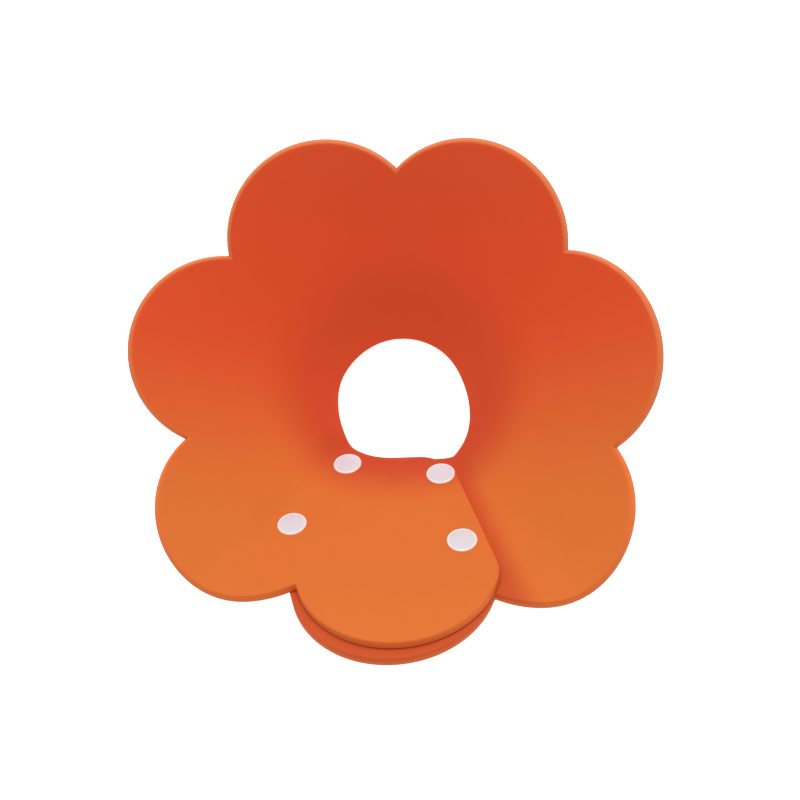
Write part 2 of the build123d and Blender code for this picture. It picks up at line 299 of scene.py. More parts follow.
def middle_surface(layer, flat):
    """The middle of the foam's thickness at points of the flat sheet.

    The foam lies flat round the snaps.
    """
    slant = np.hypot(flat[:, 0], flat[:, 1])
    angle = np.degrees(np.arctan2(flat[:, 0], flat[:, 1]))
    out = np.column_stack([np.interp(angle, ANGLES, DIRECTIONS[:, axis]) for axis in range(3)])
    ahead = np.column_stack([np.interp(angle + 0.5, ANGLES, DIRECTIONS[:, axis]) for axis in range(3)])
    inward = np.cross(out, ahead)
    inward /= np.linalg.norm(inward, axis=1)[:, None]
    kept = 1 - smooth((-layer * angle - SHIFT_KEPT) / (SHIFT_GONE - SHIFT_KEPT))
    points = np.array(APEX) + out * slant[:, None] - inward * SHEET / 2
    points += np.outer(layer * LAP_SHIFT * kept, ACROSS)
    level = layer * LAP_SHIFT - SHEET / 2
    for distance, height in list(from_snaps(points)):
        pressed = 1 - smooth((distance - PRESSED_RADIUS) / PRESSED_REACH)
        points += np.outer((level - height) * pressed, LAP_IN)
    return points


def on_foam(layer, flat, depth):
    """Points this deep below the foam's inner face.

    The caps of the snaps press into the face they bear on.
    """
    step = 0.5
    middle = middle_surface(layer, flat)
    across = middle_surface(layer, flat + (step, 0)) - middle_surface(layer, flat - (step, 0))
    away = middle_surface(layer, flat + (0, step)) - middle_surface(layer, flat - (0, step))
    inward = np.cross(away, across)
    inward /= np.linalg.norm(inward, axis=1)[:, None]
    height = SHEET / 2 - depth
    share = max(0, 2 * layer * height / SHEET)  # 1 at the face with the caps, 0 from the middle on
    nearest = np.min([distance for distance, _ in from_snaps(middle)], axis=0)
    dent = CAP_SINK * share * (1 - smooth((nearest - DENT_RADIUS) / DENT_REACH))
    return middle + inward * (height - layer * dent)[:, None]


# Outlines in the flat sheet


def ray(angle):
    """The direction of the flat sheet at a sheet angle."""
    return np.array([sin(radians(angle)), cos(radians(angle))])


def resampled(points, count, crowding=0.0):
    """Points along a polyline. Crowding draws them towards its ends."""
    share = np.linspace(0, 1, count)
    share = share - crowding * np.sin(2 * pi * share) / (2 * pi)
    length = np.concatenate([[0], np.cumsum(np.linalg.norm(np.diff(points, axis=0), axis=1))])
    return np.column_stack([np.interp(share * length[-1], length, points[:, axis]) for axis in (0, 1)])


def arc(centre, start, stop, layer, count, crowding=CROWDING):
    """The outer arc of a petal between two of its points, in the layer's own direction of travel."""
    first = atan2(start[1] - centre[1], start[0] - centre[0])
    last = atan2(stop[1] - centre[1], stop[0] - centre[0])
    turn = -layer * ((-layer * (last - first)) % (2 * pi))
    angles = first + turn * np.linspace(0, 1, 200)
    points = centre + PETAL_RADIUS * np.column_stack([np.cos(angles), np.sin(angles)])
    return resampled(points, count, crowding)


def notch(one, other):
    """The outer crossing of two petals."""
    middle = (one + other) / 2
    gap = other - one
    half = np.linalg.norm(gap) / 2
    rise = sqrt(PETAL_RADIUS**2 - half**2) * np.array([-gap[1], gap[0]]) / (2 * half)
    return max(middle + rise, middle - rise, key=np.linalg.norm)


def on_petal(centre, sheet_angle):
    """The outer point of a petal's rim at a sheet angle."""
    out = ray(sheet_angle)
    along = centre @ out
    return (along + sqrt(PETAL_RADIUS**2 - centre @ centre + along**2)) * out


def neck_slant(layer, angle):
    """The slant of a layer's neck edge.

    The lower layer's edge is straight where the closing petal leaves it bare.
    """
    deepened = smooth((DEEPENING_START[layer] - np.abs(angle)) / DEEPENING_REACH[layer])
    slant = NECK_SLANT + NECK_DEEPENING[layer] * deepened
    if layer == UPPER:
        return slant
    straight = UNDER_NECK / np.maximum(np.cos(np.radians(angle)), 0.1)
    bare = smooth(angle / TUCKED_NECK_SEAM)
    return np.minimum(slant, NECK_SLANT + (straight - NECK_SLANT) * bare)


def eased(points, reach, spacing=0.25):
    """A polyline with its corners eased over a length, and its two ends kept."""
    total = np.sum(np.linalg.norm(np.diff(points, axis=0), axis=1))
    dense = resampled(points, int(total / spacing))
    sums = np.concatenate([[(0, 0)], np.cumsum(dense, axis=0)])
    place = np.arange(len(dense))
    half = np.minimum(int(reach / spacing / 2), np.minimum(place, len(dense) - 1 - place))
    return (sums[place + half + 1] - sums[place - half]) / (2 * half + 1)[:, None]


def split_at(points, *places):
    """A polyline cut at its points nearest to these places."""
    cuts = [int(np.argmin(np.linalg.norm(points - place, axis=1))) for place in places]
    edges = [0, *cuts, len(points) - 1]
    return [points[start : stop + 1] for start, stop in zip(edges, edges[1:])]


def closing_outline(start):
    """The upper layer's free outline: its rim from the notch, its free edge, and its neck edge."""
    centre = np.array(CLOSING_CENTRE)
    neck_corner, rim_corner = np.array(CLOSING_EDGE[0]), np.array(CLOSING_EDGE[1])
    rim = arc(centre, start, rim_corner, UPPER, 200, crowding=0)
    edge = (rim_corner - neck_corner) / np.linalg.norm(rim_corner - neck_corner)
    turning = neck_corner + CORNER_CUT * edge
    neck_start = neck_corner - (CORNER_CUT, 0)
    neck_angles = np.linspace(degrees(atan2(*neck_start)), CLOSING_SEAM, 80)
    straight = neck_corner[1] / np.cos(np.radians(neck_angles))
    share = smooth((neck_angles - CLOSING_SEAM) / NECK_EASING)
    slants = straight * share + neck_slant(UPPER, neck_angles) * (1 - share)
    neck = np.array([slant * ray(angle) for slant, angle in zip(slants, neck_angles)])
    outline = eased(np.concatenate([rim, [turning], neck]), CORNER_EASING)
    return split_at(outline, rim_corner, neck[0])


def tucked_outline(start):
    """The lower layer's free outline: a petal with a rounded tab that reaches under the left snaps."""
    layer_drop = LAP_SHIFT * sin(radians(LAP_LEAN)) / cos(radians(LAP_LEAN))
    circles = [(np.array(TUCKED_CENTRE), PETAL_RADIUS)]
    for snap in LEFT_SNAPS:
        offset = snap_centres[snap] - APEX
        circles.append((np.array([offset.x, offset @ LAP_OUT - layer_drop]), TAB_RADIUS))
    circles.append((np.array([TUCKED_SEAM, UNDER_NECK + TAB_RADIUS]), TAB_RADIUS))
    offset = start - circles[0][0]
    first_facing = degrees(atan2(offset[1], offset[0]))
    points = [start]
    for angle in np.arange(first_facing, LAST_FACING, FACING_STEP):
        facing = np.array([cos(radians(angle)), sin(radians(angle))])
        centre, radius = max(circles, key=lambda circle: circle[0] @ facing + circle[1])
        points.append(centre + radius * facing)
    hull = resampled(np.array(points), 1200)
    slant = np.linalg.norm(hull, axis=1)
    least = neck_slant(LOWER, np.degrees(np.arctan2(hull[:, 0], hull[:, 1])))
    hull *= (np.maximum(slant, least) / slant)[:, None]
    stop = neck_slant(LOWER, TUCKED_NECK_SEAM) * ray(TUCKED_NECK_SEAM)
    above_stop = hull[:, 1] > stop[1] + STOP_CLEARANCE[1]
    beside_stop = hull[:, 0] < stop[0] - STOP_CLEARANCE[0]
    hull = hull[above_stop | beside_stop]
    tab_top = circles[1][0] + TAB_RADIUS * ray(TAB_TOP)
    tab_foot = circles[2][0] + TAB_RADIUS * ray(TAB_FOOT)
    return split_at(eased(np.concatenate([hull, [stop]]), TAB_EASING), tab_top, tab_foot)


def layer_outline(layer):
    """A layer's free outline from the back seam along the rim, down the free end and back along the neck.

    Returns its points, the number of points along the rim and the index of the front seam.
    """
    front_angle, side_angle, back_angle = LEFT_PETALS if layer == UPPER else RIGHT_PETALS
    front_slant = LEFT_FRONT_SLANT if layer == UPPER else PETAL_SLANT
    centres = [PETAL_SLANT * ray(back_angle), PETAL_SLANT * ray(side_angle)]
    centres.append(front_slant * ray(front_angle))
    back = BACK_FOLD if layer == UPPER else BACK_FOLD + ROUND
    marks = [on_petal(centres[0], back), notch(*centres[:2]), notch(*centres[1:])]
    notches = [PETAL_STEPS, 2 * PETAL_STEPS]
    rim = [arc(centres[0], marks[0], marks[1], layer, PETAL_STEPS + 1)]
    rim.append(arc(centres[1], marks[1], marks[2], layer, PETAL_STEPS + 1)[1:])
    if layer == UPPER:
        seam = on_petal(centres[2], CLOSING_SEAM)
        last_notch = notch(centres[2], np.array(CLOSING_CENTRE))
        rim.append(arc(centres[2], marks[2], seam, layer, PETAL_STEPS + 1)[1:])
        seam_index = sum(map(len, rim)) - 1
        rim.append(arc(centres[2], seam, last_notch, layer, CLOSING_ROOT_STEPS + 1, crowding=0)[1:])
        notches.append(sum(map(len, rim)) - 1)
        front, side, neck_end = closing_outline(last_notch)
    else:
        tucked = np.array(TUCKED_CENTRE)
        last_notch = notch(centres[2], tucked)
        seam = tucked + PETAL_RADIUS * ray(degrees(asin((TUCKED_SEAM - tucked[0]) / PETAL_RADIUS)))
        rim.append(arc(centres[2], marks[2], last_notch, layer, PETAL_STEPS + 1)[1:])
        notches.append(sum(map(len, rim)) - 1)
        rim.append(arc(tucked, last_notch, seam, layer, TUCKED_ROOT_STEPS + 1, FREE_CROWDING)[1:])
        seam_index = sum(map(len, rim)) - 1
        front, side, neck_end = tucked_outline(seam)
    rim.append(resampled(front, FREE_RIM_STEPS + 1, FREE_CROWDING)[1:])
    rim = np.concatenate(rim)
    side = resampled(side, ROWS)[1:]
    angles = np.degrees(np.arctan2(rim[: seam_index + 1, 0], rim[: seam_index + 1, 1]))
    if layer == LOWER:
        fan = -CLOSING_SEAM
        stretch = (fan - TUCKED_NECK_SEAM) / (fan - angles[-1])
        angles = np.where(angles < fan, TUCKED_NECK_SEAM + (angles - angles[-1]) * stretch, angles)
    neck_back = np.array([neck_slant(layer, angle) * ray(angle) for angle in angles[::-1]])
    neck_front = resampled(neck_end, len(rim) - seam_index)[1:]
    outline = np.concatenate([rim, side, neck_front, neck_back[1:]])
    for index in notches:
        outline[index] = (outline[index - 1] + 2 * outline[index] + outline[index + 1]) / 4
    return outline, len(rim), seam_index


def outward(outline, layer):
    """Flat directions out of an outline, up to twice as long at a corner so that an inset keeps its width.

    At the back seam the outline goes on in its own mirror image.
    """
    back = outline[-1] / np.linalg.norm(outline[-1])
    before = 2 * (outline[1] @ back) * back - outline[1]
    after = 2 * (outline[-2] @ back) * back - outline[-2]
    points = np.concatenate([[before], outline, [after]])
    steps = np.diff(points, axis=0)
    normals = layer * np.column_stack([-steps[:, 1], steps[:, 0]])
    normals /= np.linalg.norm(normals, axis=1)[:, None]
    mean = normals[:-1] + normals[1:]
    mean /= np.linalg.norm(mean, axis=1)[:, None]
    return mean / np.maximum(np.sum(mean * normals[1:], axis=1), 0.5)[:, None]


def patch(bottom, top, left, right):
    """A grid of points between four edges."""
    u = np.linspace(0, 1, len(bottom))[:, None, None]
    v = np.linspace(0, 1, len(left))[None, :, None]
    between_rows = (1 - v) * bottom[:, None] + v * top[:, None]
    between_columns = (1 - u) * left[None] + u * right[None]
    corners = (1 - u) * ((1 - v) * bottom[0] + v * top[0]) + u * ((1 - v) * bottom[-1] + v * top[-1])
    return between_rows + between_columns - corners


# Meshes


def edge_profile():
    """(inset, depth) from the inner face to the outer one, round a die-cut edge."""
    quarter = []
    for turn in (radians(30), radians(60), radians(90)):
        quarter.append((EDGE_ROUNDING * (1 - sin(turn)), EDGE_ROUNDING * (1 - cos(turn))))
    mirrored = [(inset, SHEET - depth) for inset, depth in reversed(quarter)]
    return [*quarter, (EDGE_PINCH, SHEET / 2), *mirrored]


def new_object(name, vertices, faces, *materials):
    """A mesh object in the scene, from vertices in millimetres."""
    mesh = bpy.data.meshes.new(name)
    mesh.from_pydata([tuple(MM * value for value in point) for point in vertices], [], faces)
    for material in materials:
        mesh.materials.append(material)
    piece = bpy.data.objects.new(name, mesh)
    bpy.context.scene.collection.objects.link(piece)
    return piece


def finish_mesh(piece, sharp_angle=35):
    """Consistent normals, smooth shading and sharp corners."""
    work = bmesh.new()
    work.from_mesh(piece.data)
    bmesh.ops.recalc_face_normals(work, faces=work.faces)
    for face in work.faces:
        face.smooth = True
    for edge in work.edges:
        edge.smooth = edge.calc_face_angle(0) < radians(sharp_angle)
    work.to_mesh(piece.data)
    work.free()


def foam_piece(name, layer, first, last):
    """The foam between two columns of a layer's outline, as one closed mesh with rounded cut edges.

    A piece that reaches the outline's last rim point ends in the sheet's free end, and any other end is a
    seam.
    """
    outline, rim_count, _ = outlines[layer]
    facing = outward(outline, layer)
    inset = outline - EDGE_ROUNDING * facing
    rim_run = np.arange(first, last + 1)
    neck_run = len(outline) - 1 - rim_run
    free_end = last == rim_count - 1
    share = np.linspace(0, 1, ROWS)[:, None]
    seam = inset[neck_run[0]] + share * (inset[rim_run[0]] - inset[neck_run[0]])
    if free_end:
        side_run = np.arange(rim_count - 1 + ROWS - 1, rim_count - 2, -1)
        end = inset[side_run]
    else:
        end = inset[neck_run[-1]] + share * (inset[rim_run[-1]] - inset[neck_run[-1]])
    grid = patch(inset[neck_run], inset[rim_run], seam, end)
    columns = len(grid)
    flat = grid.reshape(-1, 2)
    vertices = [*on_foam(layer, flat, 0), *on_foam(layer, flat, SHEET)]
    inner = np.arange(len(flat)).reshape(columns, ROWS)
    outer = inner + len(flat)
    faces = []
    for face in (inner, outer):
        for i in range(columns - 1):
            for j in range(ROWS - 1):
                faces.append((face[i, j], face[i + 1, j], face[i + 1, j + 1], face[i, j + 1]))
    skin_faces = len(faces)
    top = [(i, ROWS - 1) for i in range(columns)]
    bottom = [(i, 0) for i in range(columns)]
    chains = [(top, rim_run), (bottom, neck_run)]
    if free_end:
        side = [(columns - 1, j) for j in range(ROWS)]
        run = np.concatenate([rim_run, side_run[-2::-1], neck_run[-2::-1]])
        chains = [(top + side[-2::-1] + bottom[-2::-1], run)]
    ends = []
    for cells, run in chains:
        rings = [[inner[cell] for cell in cells]]
        for ring_inset, depth in edge_profile():
            rings.append(list(range(len(vertices), len(vertices) + len(run))))
            vertices.extend(on_foam(layer, outline[run] - ring_inset * facing[run], depth))
        rings.append([outer[cell] for cell in cells])
        for one, other in zip(rings, rings[1:]):
            for k in range(len(run) - 1):
                faces.append((one[k], one[k + 1], other[k + 1], other[k]))
        ends.append([ring[0] for ring in rings])
        ends.append([ring[-1] for ring in rings])
    faces.extend(ends)
    seam_columns = (0,) if free_end else (0, columns - 1)
    for i in seam_columns:
        for j in range(ROWS - 1):
            faces.append((inner[i, j], inner[i, j + 1], outer[i, j + 1], outer[i, j]))
    piece = new_object(name, vertices, faces, foam, cut_foam)
    for polygon in piece.data.polygons[skin_faces:]:
        polygon.material_index = 1
    finish_mesh(piece)
    return piece


def store(piece, name, values):
    """Values kept at the points of the piece's mesh, for its material."""
    stored = piece.data.attributes.new(name, "FLOAT", "POINT")
    stored.data.foreach_set("value", values.astype(np.float32))


def store_painted_shade(piece, layer):
    """Stores where a piece of foam is for its painted shade and painted light.

    Painted shade makes it deep towards the neck and at the back, and painted light makes it light on the
    front petals. Painted shade makes it deep too on the inner face of the lower layer, as far as the
    closing petal covers it.
    """
    places = np.array([vertex.co for vertex in piece.data.vertices]) / MM
    slant = np.linalg.norm(places - np.array(APEX), axis=1)
    # Painted light towards the front, and painted shade near the neck that fades outward
    towards_front = smooth((FRONT_START - places[:, 1]) / FRONT_REACH)
    fading = slant - NECK_SHADE + NECK_SHADE_PULL * towards_front
    painted_shade_faded = smooth(fading / NECK_SHADE_REACH)
    # Painted shade on the lower layer's inner face where the closing petal covers it
    if layer == LOWER:
        (x0, y0), (x1, y1) = CLOSING_EDGE
        across = places[:, 0] - APEX.x - x0
        out = (places - np.array(APEX)) @ np.array(LAP_OUT) - y0
        past_edge = (across * (y1 - y0) - out * (x1 - x0)) / np.hypot(x1 - x0, y1 - y0)
        height = (places - np.array(snap_centres[RIGHT_SNAPS[0]])) @ np.array(LAP_IN)
        on_inner_face = smooth((height - LOWER_OUT) / SHEET)
        covered = 1 - smooth((past_edge - COVER_MARGIN) / COVER_REACH)
        covered *= smooth(-places[:, 1] / COVER_FRONT) * on_inner_face
        painted_shade_faded *= 1 - COVER_SHADE * covered
    store(piece, "painted_shade_faded", painted_shade_faded)
    store(piece, "towards_front", towards_front)


def bored(piece, snaps, radius, low, high):
    """The piece with a round pocket at each of these snaps, between two heights."""
    vertices, faces = [], []
    for snap in snaps:
        for height in (low, high):
            base = snap_centres[snap] + LAP_IN * height
            for k in range(TURNED_STEPS):
                turn = 2 * pi * k / TURNED_STEPS
                vertices.append(base + radius * (RIGHT * cos(turn) + LAP_OUT * sin(turn)))
        start = len(vertices) - 2 * TURNED_STEPS
        bottom = range(start, start + TURNED_STEPS)
        for k in range(TURNED_STEPS):
            after = (k + 1) % TURNED_STEPS
            side = [start + k, start + after, start + TURNED_STEPS + after, start + TURNED_STEPS + k]
            faces.append(side)
        faces.append(list(bottom))
        faces.append([k + TURNED_STEPS for k in bottom])
    cutter = new_object("cutter", vertices, faces)
    finish_mesh(cutter)
    modifier = piece.modifiers.new("pockets", "BOOLEAN")
    modifier.operation = "DIFFERENCE"
    modifier.solver = "EXACT"
    modifier.object = cutter
    evaluated = piece.evaluated_get(bpy.context.evaluated_depsgraph_get())
    mesh = bpy.data.meshes.new_from_object(evaluated)
    piece.modifiers.clear()
    piece.data = mesh
    bpy.data.objects.remove(cutter)
    finish_mesh(piece)
    return piece


def rounded(profile, steps=4):
    """(radius, height) points for (radius, height, rounding) corners."""
    points = []
    for k, (radius, height, rounding) in enumerate(profile):
        corner = np.array([radius, height])
        if rounding == 0:
            points.append(corner)
            continue
        before = np.array(profile[k - 1][:2]) - corner
        after = np.array(profile[(k + 1) % len(profile)][:2]) - corner
        start = corner + rounding * before / np.linalg.norm(before)
        stop = corner + rounding * after / np.linalg.norm(after)
        for share in np.linspace(0, 1, steps + 1):
            points.append((1 - share) ** 2 * start + 2 * share * (1 - share) * corner + share**2 * stop)
    return points


def store_rim(piece, snap):
    """Stores where a round piece has a cap's rolled rim, for its painted highlight: 0 inside the rim and 1
    on it.
    """
    places = np.array([vertex.co for vertex in piece.data.vertices]) / MM
    places -= np.array(snap_centres[snap])
    height = places @ np.array(LAP_IN)
    distance = np.linalg.norm(places - height[:, None] * np.array(LAP_IN), axis=1)
    store(piece, "rim", smooth((distance - RIM_START) / RIM_REACH))


def turned_piece(snap, part, profile, body):
    """A part of a snap, turned about its axis. A profile is open if it begins and ends on the axis."""
    points = rounded(profile)
    on_axis = points[0][0] == 0
    vertices, rings = [], []
    for radius, height in points:
        base = snap_centres[snap] + LAP_IN * float(height)
        count = 1 if radius == 0 else TURNED_STEPS
        rings.append([len(vertices) + k % count for k in range(TURNED_STEPS)])
        for k in range(count):
            turn = 2 * pi * k / TURNED_STEPS
            vertices.append(base + float(radius) * (RIGHT * cos(turn) + LAP_OUT * sin(turn)))
    faces = []
    following = rings[1:] if on_axis else rings[1:] + rings[:1]
    for one, other in zip(rings, following):
        for k in range(TURNED_STEPS):
            after = (k + 1) % TURNED_STEPS
            corners = [one[k], one[after], other[after], other[k]]
            faces.append(list(dict.fromkeys(corners)))
    piece = new_object(f"{snap}_moulded_{part}", vertices, faces, plastic)
    finish_mesh(piece, sharp_angle=50)
    store_rim(piece, snap)
    node = f"{snap}_{part}"
    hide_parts(node)
    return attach(piece, body)


def cap(snap, part, seat, head, way, body):
    """A cap with a rolled rim and a low dome, and its pin with a flattened head."""
    profile = [
        (0, head - way * PIN_HEAD, 0),
        (PIN_HEAD_RADIUS, head - way * PIN_HEAD, 0.12),
        (PIN_HEAD_RADIUS, head, 0.08),
        (PIN_RADIUS, head, 0),
        (PIN_RADIUS, seat, 0.15),
        (CAP_RADIUS - 0.15, seat, 0.15),
        (CAP_RADIUS, seat + way * 0.6, 0.4),
        (CAP_RADIUS - 0.5, seat + way * 1.15, 0.35),
        (CAP_RADIUS - 1.1, seat + way * 0.95, 0.3),
        (CAP_RADIUS - 3.2, seat + way * 1.25, 1.4),
        (CAP_RADIUS - 5.6, seat + way * 1.42, 1.4),
        (0, seat + way * 1.45, 0),
    ]
    return turned_piece(snap, part, profile, body)


def socket(snap, body):
    """The socket: a disc with a lipped cavity, and a groove round it."""
    web = UPPER_OUT + CAVITY_DEPTH
    profile = [
        (PIN_RADIUS + FIT, UPPER_OUT + SOCKET_HEIGHT, 0.1),
        (SOCKET_RADIUS - 0.9, UPPER_OUT + SOCKET_HEIGHT, 0.4),
        (SOCKET_RADIUS, UPPER_OUT + SOCKET_HEIGHT - 0.7, 0.3),
        (SOCKET_RADIUS, UPPER_OUT, 0.2),
        (SOCKET_RADIUS - 0.8, UPPER_OUT, 0.1),
        (SOCKET_RADIUS - 0.95, UPPER_OUT + 0.25, 0.1),
        (SOCKET_RADIUS - 1.25, UPPER_OUT + 0.25, 0.1),
        (SOCKET_RADIUS - 1.4, UPPER_OUT, 0.1),
        (CAVITY_RADIUS - 0.15, UPPER_OUT, 0.25),
        (CAVITY_RADIUS - 0.1, UPPER_OUT + 0.6, 0.2),
        (CAVITY_RADIUS, UPPER_OUT + 0.9, 0.2),
        (CAVITY_RADIUS, web, 0.3),
        (PIN_RADIUS + FIT, web, 0.05),
    ]
    return turned_piece(snap, "socket", profile, body)


def stud(snap, body):
    """The stud: a stepped disc with a hollow post that has a rounded mouth."""
    hollow = PIN_HEAD_RADIUS + 2 * FIT
    top = LOWER_IN + POST_HEIGHT
    profile = [
        (PIN_RADIUS + FIT, LOWER_IN - STUD_BASE, 0),
        (STUD_RADIUS - 0.15, LOWER_IN - STUD_BASE, 0.15),
        (STUD_RADIUS, LOWER_IN - 0.1, 0.2),
        (STUD_RADIUS - 0.9, LOWER_IN, 0.2),
        (STUD_RADIUS - 1.1, LOWER_IN - 0.15, 0.1),
        (POST_RADIUS + 0.25, LOWER_IN - 0.15, 0.2),
        (POST_RADIUS - 0.05, LOWER_IN + 0.3, 0.2),
        (POST_TIP_RADIUS + 0.25, top - 0.35, 0.25),
        (POST_TIP_RADIUS, top, 0.25),
        (hollow + 0.05, top, 0.12),
        (hollow, STUD_FLOOR, 0.1),
        (PIN_RADIUS + FIT, STUD_FLOOR, 0),
    ]
    return turned_piece(snap, "stud", profile, body)


def upper_pockets(piece, snaps):
    """The piece of the upper layer with the pockets that its sockets sit in."""
    return bored(piece, snaps, SOCKET_RADIUS + FIT, UPPER_OUT - SHEET, UPPER_OUT + SOCKET_HEIGHT)


def lower_pockets(piece, snaps):
    """The piece of the lower layer with the pockets that its studs sit in."""
    return bored(piece, snaps, STUD_RADIUS + FIT, LOWER_IN - STUD_BASE, LOWER_IN + SHEET)


# Folds


def on_fold(sheet_angle):
    """The point half way out on a fold line, and the direction across it towards larger sheet angles."""
    out = sheet_direction(sheet_angle)
    across = sheet_direction(sheet_angle + 0.5) - sheet_direction(sheet_angle - 0.5)
    return APEX + (NECK_SLANT + PETAL_SLANT) / 2 * out, across.normalized()


def on_closing_fold():
    """The neck end of the closing petal's fold line, and the direction across it to the free edge."""
    (x0, y0), (x1, y1) = CLOSING_FOLD
    along = Vector((x1 - x0, y1 - y0)).normalized()
    place = APEX + x0 * RIGHT + y0 * LAP_OUT + LAP_SHIFT * ACROSS
    return place, along.y * RIGHT - along.x * LAP_OUT


def bend(piece, still, moving, place, across, before, after):
    """Bakes the piece's transform into its mesh. The bodies, the place, the direction across and the strip
    from before to after are not used.
    """
    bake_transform(piece)


# Materials


def material(name):
    """A new node material, its node tree and its shader."""
    made = bpy.data.materials.new(name)
    made.use_nodes = True
    return made, made.node_tree, made.node_tree.nodes["Principled BSDF"]


def noise(tree, size, detail=2.0, roughness=0.5):
    """Noise of this feature size in millimetres, fixed to the object."""
    place = tree.nodes.new("ShaderNodeTexCoord")
    texture = tree.nodes.new("ShaderNodeTexNoise")
    texture.inputs["Scale"].default_value = 1 / (size * MM)
    texture.inputs["Detail"].default_value = detail
    texture.inputs["Roughness"].default_value = roughness
    tree.links.new(place.outputs["Object"], texture.inputs["Vector"])
    return texture.outputs["Fac"]


def pores(tree, size):
    """Closed cells of this size in millimetres: 0 at a cell's middle."""
    place = tree.nodes.new("ShaderNodeTexCoord")
    texture = tree.nodes.new("ShaderNodeTexVoronoi")
    texture.inputs["Scale"].default_value = 1 / (size * MM)
    tree.links.new(place.outputs["Object"], texture.inputs["Vector"])
    return texture.outputs["Distance"]


def ramp(tree, value, *stops):
    """A colour ramp of (position, colour) stops."""
    node = tree.nodes.new("ShaderNodeValToRGB")
    elements = node.color_ramp.elements
    elements[0].position, elements[0].color = stops[0][0], (*stops[0][1], 1)
    elements[1].position, elements[1].color = stops[-1][0], (*stops[-1][1], 1)
    for position, colour in stops[1:-1]:
        elements.new(position).color = (*colour, 1)
    tree.links.new(value, node.inputs["Fac"])
    return node.outputs["Color"]


def levels(tree, value, low, high):
    """A value from 0 to 1 moved to a range."""
    node = tree.nodes.new("ShaderNodeMapRange")
    node.inputs["To Min"].default_value = low
    node.inputs["To Max"].default_value = high
    tree.links.new(value, node.inputs["Value"])
    return node.outputs["Result"]


def bumped(tree, shader, *layers):
    """Bumps from (value, height in millimetres, strength) layers, one on top of the other."""
    below = None
    for value, height, strength in layers:
        bump = tree.nodes.new("ShaderNodeBump")
        bump.inputs["Distance"].default_value = height * MM
        bump.inputs["Strength"].default_value = strength
        tree.links.new(value, bump.inputs["Height"])
        if below is not None:
            tree.links.new(below, bump.inputs["Normal"])
        below = bump.outputs["Normal"]
    tree.links.new(below, shader.inputs["Normal"])


def attribute(tree, name):
    """A value stored at the points of the mesh."""
    node = tree.nodes.new("ShaderNodeAttribute")
    node.attribute_name = name
    return node.outputs["Fac"]


def added(tree, one, other):
    """The sum of two values, kept between 0 and 1."""
    node = tree.nodes.new("ShaderNodeMath")
    node.operation = "ADD"
    node.use_clamp = True
    tree.links.new(one, node.inputs[0])
    tree.links.new(other, node.inputs[1])
    return node.outputs["Value"]


def mixed(tree, share, one, other):
    """One colour, giving way to another as the share goes from 0 to 1."""
    node = tree.nodes.new("ShaderNodeMix")
    node.data_type = "RGBA"
    tree.links.new(share, node.inputs["Factor"])
    tree.links.new(one, node.inputs[6])
    tree.links.new(other, node.inputs[7])
    return node.outputs[2]


def foam_material(name, back, front, cell, depth, roughness):
    """Closed-cell foam: a matt skin with fine cells.

    back and front are its colours at those sides of the collar, each at the neck edge and at the rim, with
    painted shade making the back and the neck deeper and painted light making the front lighter. The
    cells' size and the bumps' depth are millimetres.
    """
    made, tree, shader = material(name)
    mottling = levels(tree, noise(tree, 9, 3), -MOTTLING, MOTTLING)
    # Painted shade and painted light: the stored shares pick the colour from neck to rim and from back to
    # front
    outward_share = added(tree, attribute(tree, "painted_shade_faded"), mottling)
    back_shade = ramp(tree, outward_share, (0.0, back[0]), (1.0, back[1]))
    front_shade = ramp(tree, outward_share, (0.0, front[0]), (1.0, front[1]))
    shade = mixed(tree, attribute(tree, "towards_front"), back_shade, front_shade)
    tree.links.new(shade, shader.inputs["Base Color"])
    tree.links.new(levels(tree, noise(tree, 3), *roughness), shader.inputs["Roughness"])
    waves = (noise(tree, 5, 2), depth, 0.25)
    grain = (noise(tree, 1.2, 3), depth, 0.35)
    cells = (pores(tree, cell), depth, 0.6)
    bumped(tree, shader, waves, grain, cells)
    shader.inputs["Specular IOR Level"].default_value = 0.2
    shader.inputs["Sheen Weight"].default_value = 0.03
    shader.inputs["Sheen Roughness"].default_value = 0.6
    return made


def plastic_material():
    """Moulded white plastic with a soft gloss and a faint flow pattern, and a painted highlight and a
    pinkish painted reflection of the foam on the caps' rolled rims.
    """
    made, tree, shader = material("snap_plastic")
    middle = ramp(tree, noise(tree, 6, 2), (0.3, CAP_COLOURS[0]), (0.7, CAP_COLOURS[1]))
    # Painted highlight and painted reflection of the foam on the caps' rolled rims
    rim = ramp(tree, noise(tree, 2, 2), (0.3, RIM_HIGHLIGHT_COLOURS[0]), (0.7, RIM_HIGHLIGHT_COLOURS[1]))
    tree.links.new(mixed(tree, attribute(tree, "rim"), middle, rim), shader.inputs["Base Color"])
    tree.links.new(levels(tree, noise(tree, 0.8), 0.3, 0.42), shader.inputs["Roughness"])
    bumped(tree, shader, (noise(tree, 2.5), 0.02, 0.3))
    shader.inputs["Coat Weight"].default_value = 0.15
    shader.inputs["Coat Roughness"].default_value = 0.2
    return made


# Stage


def floor():
    """A plain floor that glows a little, so that it stays white."""
    made, tree, shader = material("studio_floor")
    shade = ramp(tree, noise(tree, 300, 1), (0.3, FLOOR_COLOURS[0]), (0.7, FLOOR_COLOURS[1]))
    tree.links.new(shade, shader.inputs["Base Color"])
    shader.inputs["Roughness"].default_value = 0.9
    shader.inputs["Emission Color"].default_value = (1, 1, 1, 1)
    shader.inputs["Emission Strength"].default_value = FLOOR_GLOW
    corners = [(FLOOR_REACH * x, FLOOR_REACH * y, 0) for x, y in ((-1, -1), (1, -1), (1, 1), (-1, 1))]
    new_object("studio_floor", corners, [(0, 1, 2, 3)], made)


